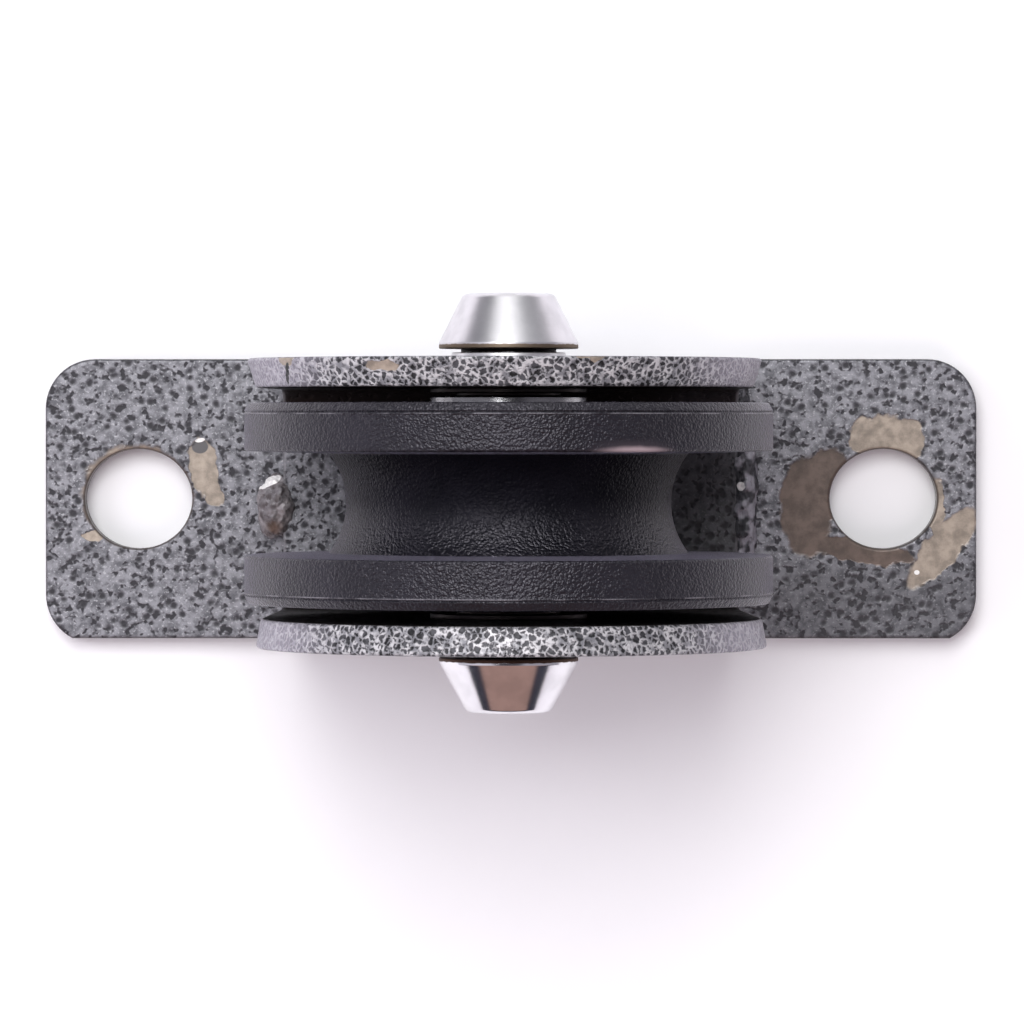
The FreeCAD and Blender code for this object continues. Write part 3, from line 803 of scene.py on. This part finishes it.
def make_sheave(material):
    """The moulded sheave: a groove between two flanges, each with a thin parting ridge."""
    half = SHEAVE_HIGH.y
    ridge = 0.05 * MM
    rim_r = SHEAVE_HIGH.x - 2 * ridge
    lip = 0.3 * MM
    seat_r = 8.0 * MM
    seat_depth = 4.3 * MM
    shoulder_r = 6.5 * MM
    wall_y = 5.3 * MM
    floor_y = 5.05 * MM
    floor_edge_r = 18.3 * MM
    floor_r = 16.55 * MM
    face_r = rim_r - 0.42 * MM
    sag = floor_edge_r - floor_r
    arc_r = (floor_y ** 2 + sag ** 2) / (2 * sag)
    arc_half = math.asin(floor_y / arc_r)
    floor_steps = 16
    floor = [
        (arc_r * math.sin(angle), floor_r + arc_r - arc_r * math.cos(angle))
        for angle in [arc_half * (1 - step / floor_steps) for step in range(2 * floor_steps + 1)]
    ]
    outside = rounded_corners([
        (half, seat_r, 0.2 * MM),
        (half, face_r, 0.25 * MM),
        (PARTING_Y + 0.14 * MM, rim_r, 0.04 * MM),
        (PARTING_Y, rim_r - 2 * ridge, 0.03 * MM),
        (PARTING_Y - RIDGE_AWAY, rim_r + ridge, 0.05 * MM),
        (PARTING_Y - 2 * RIDGE_AWAY, rim_r, 0.03 * MM),
        (wall_y, rim_r, lip),
        (floor_y, floor_edge_r, 0),
        (0, floor_r, 0),
    ], 5)
    side = [tuple(point) for point in outside[:-2]]
    bore = [(-half + seat_depth, seat_r), (-half + seat_depth, shoulder_r),
            (half - seat_depth, shoulder_r), (half - seat_depth, seat_r)]
    other = [(-y, r) for y, r in reversed(side)]
    profile = bore + side + floor + other

    waves_round = 9
    tear, ripple = 0.8 * ridge, 0.2 * ridge

    def uneven(y, radius, angle):
        """The ridge is torn and uneven, and the moulded faces are never quite true."""
        out = Vector((math.sin(angle), math.cos(angle), y / half)) * waves_round
        if radius > rim_r + ridge / 2 or radius < rim_r - ridge < radius + ridge:
            return tear * (noise.noise(out * 1.7) + 0.3 * noise.noise(out * 9))
        if radius > rim_r - ridge:
            return ripple * noise.noise(out)
        return 0

    sheave = lathe(profile, SHEAVE_STEPS, uneven)
    piece_from("sheave_moulded", sheave, material, "sheave", "sheave")


def hexagon(across_flats):
    """The radius of a hexagonal socket at each angle."""
    def radius(angle):
        """The distance to the flat that the angle looks at."""
        return across_flats / 2 / math.cos((angle % (math.pi / 3)) - math.pi / 6)
    return radius


def make_axle_part(name, material, node, side, nose_r, shank):
    """A cone head with a hexagon socket in its nose, and its shank."""
    low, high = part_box(node)
    nose = high.y if side > 0 else -low.y
    socket = hexagon(SOCKET_ACROSS_FLATS)
    socket_lead = 0.3 * MM
    drill_point = 0.4 * MM
    head = rounded_corners([
        (HEAD_SEAT, shank[0][1], 0),
        (HEAD_SEAT, high.x, 0.12 * MM),
        (HEAD_SEAT + HEAD_RIM, high.x, 0.15 * MM),
        (nose, nose_r, 0.8 * MM),
        (nose, SOCKET_MOUTH_R, 0),
    ], 6)
    profile = [tuple(point) for point in head]
    profile += [(nose - socket_lead, socket), (nose - SOCKET_DEPTH, socket),
                (nose - SOCKET_DEPTH - drill_point, 0)]
    profile += shank[1:]
    placed = [(side * y, r) for y, r in profile]
    piece_from(name, lathe(placed), material, "bracket", node)


# ---------------------------------------------------------------- stage, light and camera

def make_floor():
    """White paper under the part."""
    floor = bmesh.new()
    bmesh.ops.create_grid(floor, x_segments=8, y_segments=8, size=3.0)
    mesh = bpy.data.meshes.new("floor")
    floor.to_mesh(mesh)
    floor.free()
    thing = add_to_scene("floor", mesh)
    thing.location.z = PLATE_LOW.z - 0.05 * MM
    graph = Graph("floor_paper")
    fibre = graph.grain(6.0, 3.0)
    graph.set(Base_Color=graph.mix(fibre, (0.92, 0.92, 0.935, 1), (0.94, 0.935, 0.95, 1)),
              Roughness=0.9)
    mesh.materials.append(graph.material)


def make_world():
    """A dim studio: warm on the near side, dark above the horizon and a window behind."""
    world = bpy.data.worlds.new("studio")
    bpy.context.scene.world = world
    world.use_nodes = True
    tree = NodeTree(world.node_tree)
    split = tree.add("ShaderNodeSeparateXYZ")
    tree.feed(split.inputs[0], tree.add("ShaderNodeTexCoord").outputs["Generated"])
    x, y, z = split.outputs
    near_side = tree.step(tree.math("MULTIPLY", y, -1.0), 0.35, 0.5)
    above = tree.step(z, 0.2, 0.27)
    room = tree.mix(tree.step(x, -0.6, 0.6), (0.80, 0.78, 0.86, 1), (0.42, 0.40, 0.45, 1))
    front = tree.mix(above, (0.05, 0.05, 0.07, 1), (0.46, 0.29, 0.25, 1))
    room = tree.mix(near_side, room, front)
    window = tree.both(tree.step(y, 0.5, 0.6), tree.below(x, 0.05, 0.5),
                       tree.step(x, -0.42, -0.3))
    stripe = tree.both(tree.step(y, 0.3, 0.45), tree.below(x, -0.42, -0.3))
    room = tree.mix(tree.step(y, 0.3, 0.5), room, (0.42, 0.42, 0.44, 1))
    room = tree.mix(stripe, room, (0.16, 0.16, 0.18, 1))
    room = tree.mix(window, room, (1.6, 1.6, 1.6, 1))
    overhead = tree.step(z, 0.86, 0.97)
    room = tree.mix(overhead, room, (0.10, 0.095, 0.11, 1))
    back = world.node_tree.nodes["Background"]
    tree.feed(back.inputs["Color"], room)
    back.inputs["Strength"].default_value = 0.85


def area_light(name, place, size, watts, colour=(1, 1, 1), mirrored=True):
    """A square soft box that faces the part and isn't seen itself."""
    light = bpy.data.lights.new(name, "AREA")
    light.size = size
    light.energy = watts
    light.color = colour
    box = add_to_scene(name, light)
    box.location = place
    box.rotation_mode = "QUATERNION"
    box.rotation_quaternion = (Vector((0, 0, AXLE_Z)) - Vector(place)).to_track_quat("-Z", "Y")
    box.visible_camera = False
    box.visible_glossy = mirrored


def make_camera():
    """The viewpoint: almost straight down, with +Y at the top."""
    lens = bpy.data.cameras.new("camera")
    lens.sensor_width = 36.0
    lens.lens = 207.2
    lens.clip_start = 0.01
    lens.clip_end = 20.0
    camera = add_to_scene("camera", lens)
    place = Vector((4.19, 8.11, 636.0)) * MM
    target = Vector((0.34, -0.92, 36.0)) * MM
    back = (place - target).normalized()
    right = Vector((0, 1, 0)).cross(back).normalized()
    up = back.cross(right)
    turn = Matrix((right, up, back)).transposed().to_4x4()
    camera.matrix_world = Matrix.Translation(place) @ turn
    bpy.context.scene.camera = camera


# ---------------------------------------------------------------- the model

def finish_of(node, material):
    """Puts a material on a CAD node that is kept."""
    for socket in frame["nodes"][node].material_slots:
        socket.material = material


# The bands darken the cones' rims and the head washers' narrow halves, as painted shade where they meet.
bright_steel = turned_steel("bright_steel", (0.80, 0.79, 0.82, 1), 0.10,
                            painted_shade_band=(15.5, 16.15, (0.10, 0.06, 0.045, 1)))
satin_steel = turned_steel("satin_steel", (0.76, 0.75, 0.78, 1), 0.27, depth=0.010,
                           painted_shade_band=(15.5, 16.2, (0.22, 0.17, 0.125, 1)))
head_washer_steel = turned_steel("head_washer_steel", (0.92, 0.91, 0.93, 1), 0.35,
                                 painted_shade_band=(15.4, 17.0, (0.012, 0.01, 0.01, 1)))
# The cheek washers and shims are near black, as painted shade in the narrow gap between cheek and sheave.
washer_steel_painted_shade = turned_steel("zinc_washer", (0.06, 0.052, 0.052, 1), 0.3)
bearing_steel = turned_steel("bearing_steel", (0.6, 0.6, 0.62, 1), 0.2)
shield_steel = turned_steel("shield_steel", (0.5, 0.5, 0.52, 1), 0.3)
ball_steel = turned_steel("ball_steel", (0.75, 0.75, 0.78, 1), 0.08, depth=0.001)
cage_nylon = turned_steel("cage_nylon", (0.42, 0.33, 0.2, 1), 0.5, metallic=0.0)

left_weld = weld_paint("weld_paint_left", dark=(0.15, 0.125, 0.125, 1),
                       light=(0.34, 0.30, 0.30, 1), cover=0.55,
                       stain=((-25.3, -3.0, 6), (1.3, 1.2, 4), 0, 0.3),
                       highlight_streak=((-25.9, 1.8, 6), (1.5, 0.5, 5), 24))
right_weld = weld_paint("weld_paint_right", dark=(0.03, 0.03, 0.035, 1),
                        light=(0.33, 0.32, 0.36, 1), cover=0.85,
                        stain=((26.0, -7.0, 4), (0.8, 0.6, 4)),
                        highlight_streak=((24.6, 1.4, 6), (0.45, 0.5, 5)))

make_base_plate(plate_paint())
make_u_bracket(bracket_paint())
make_weld("left", left_weld, (-24.9, -0.8, 4.4), (2.2, 3.4, 2.6), lumps=3.2, seed=3.0)
make_weld("right", right_weld, (24.9, 1.5, 3.9), (1.5, 10.2, 2.7), lumps=1.8, seed=11.0)
make_sheave(black_nylon())
for end, side in (("front", -1), ("rear", 1)):
    make_head_washer(f"head_washer_{end}_turned", head_washer_steel, f"head_washer_{end}", side)
    make_ring(f"cheek_washer_{end}_pressed", washer_steel_painted_shade, f"cheek_washer_{end}")
    make_ring(f"bearing_shim_{end}_pressed", washer_steel_painted_shade, f"bearing_shim_{end}",
              chamfer=0.04 * MM)
    make_inner_race(f"bearing_inner_race_{end}", bearing_steel, f"bearing_inner_ring_{end}")
    make_outer_race(f"bearing_outer_race_{end}", bearing_steel, f"bearing_outer_ring_{end}")
    for where in ("outer", "inner"):
        make_ring(f"bearing_seal_{where}_{end}", shield_steel,
                  f"bearing_shield_{where}_{end}", SHIELD_BORE_R, "sheave", 0.06 * MM)
    finish_of(f"bearing_cage_{end}", cage_nylon)
    finish_of(f"bearing_balls_{end}", ball_steel)
make_ring("bearing_spacer_turned", bearing_steel, "bearing_spacer_tube")

sleeve_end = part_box("axle_sleeve_nut")[0].y
sleeve_floor = 8.0 * MM
screw_end = -7.0 * MM
sleeve_shank = [(HEAD_SEAT, SHANK_R), (sleeve_floor, 0), (sleeve_floor, SCREW_R),
                (sleeve_end, SCREW_R), (sleeve_end, SHANK_R)]
screw_shank = [(HEAD_SEAT, SCREW_R), (screw_end, 0), (screw_end, SCREW_R)]
make_axle_part("axle_sleeve_nut_turned", satin_steel, "axle_sleeve_nut", side=1,
               nose_r=4.6 * MM, shank=sleeve_shank)
make_axle_part("axle_screw_turned", bright_steel, "axle_screw", side=-1,
               nose_r=4.3 * MM, shank=screw_shank)

make_floor()
make_world()
area_light("key", (-0.12, 0.36, 0.95), 0.6, 7.0)
area_light("fill_left", (-0.9, 0.1, 0.5), 0.8, 5.2, (0.95, 0.93, 1.0), mirrored=False)
area_light("fill_front", (0.2, -0.8, 0.7), 0.9, 3.6, (0.94, 0.89, 1.0), mirrored=False)
make_camera()
bpy.context.scene.view_settings.view_transform = "Standard"
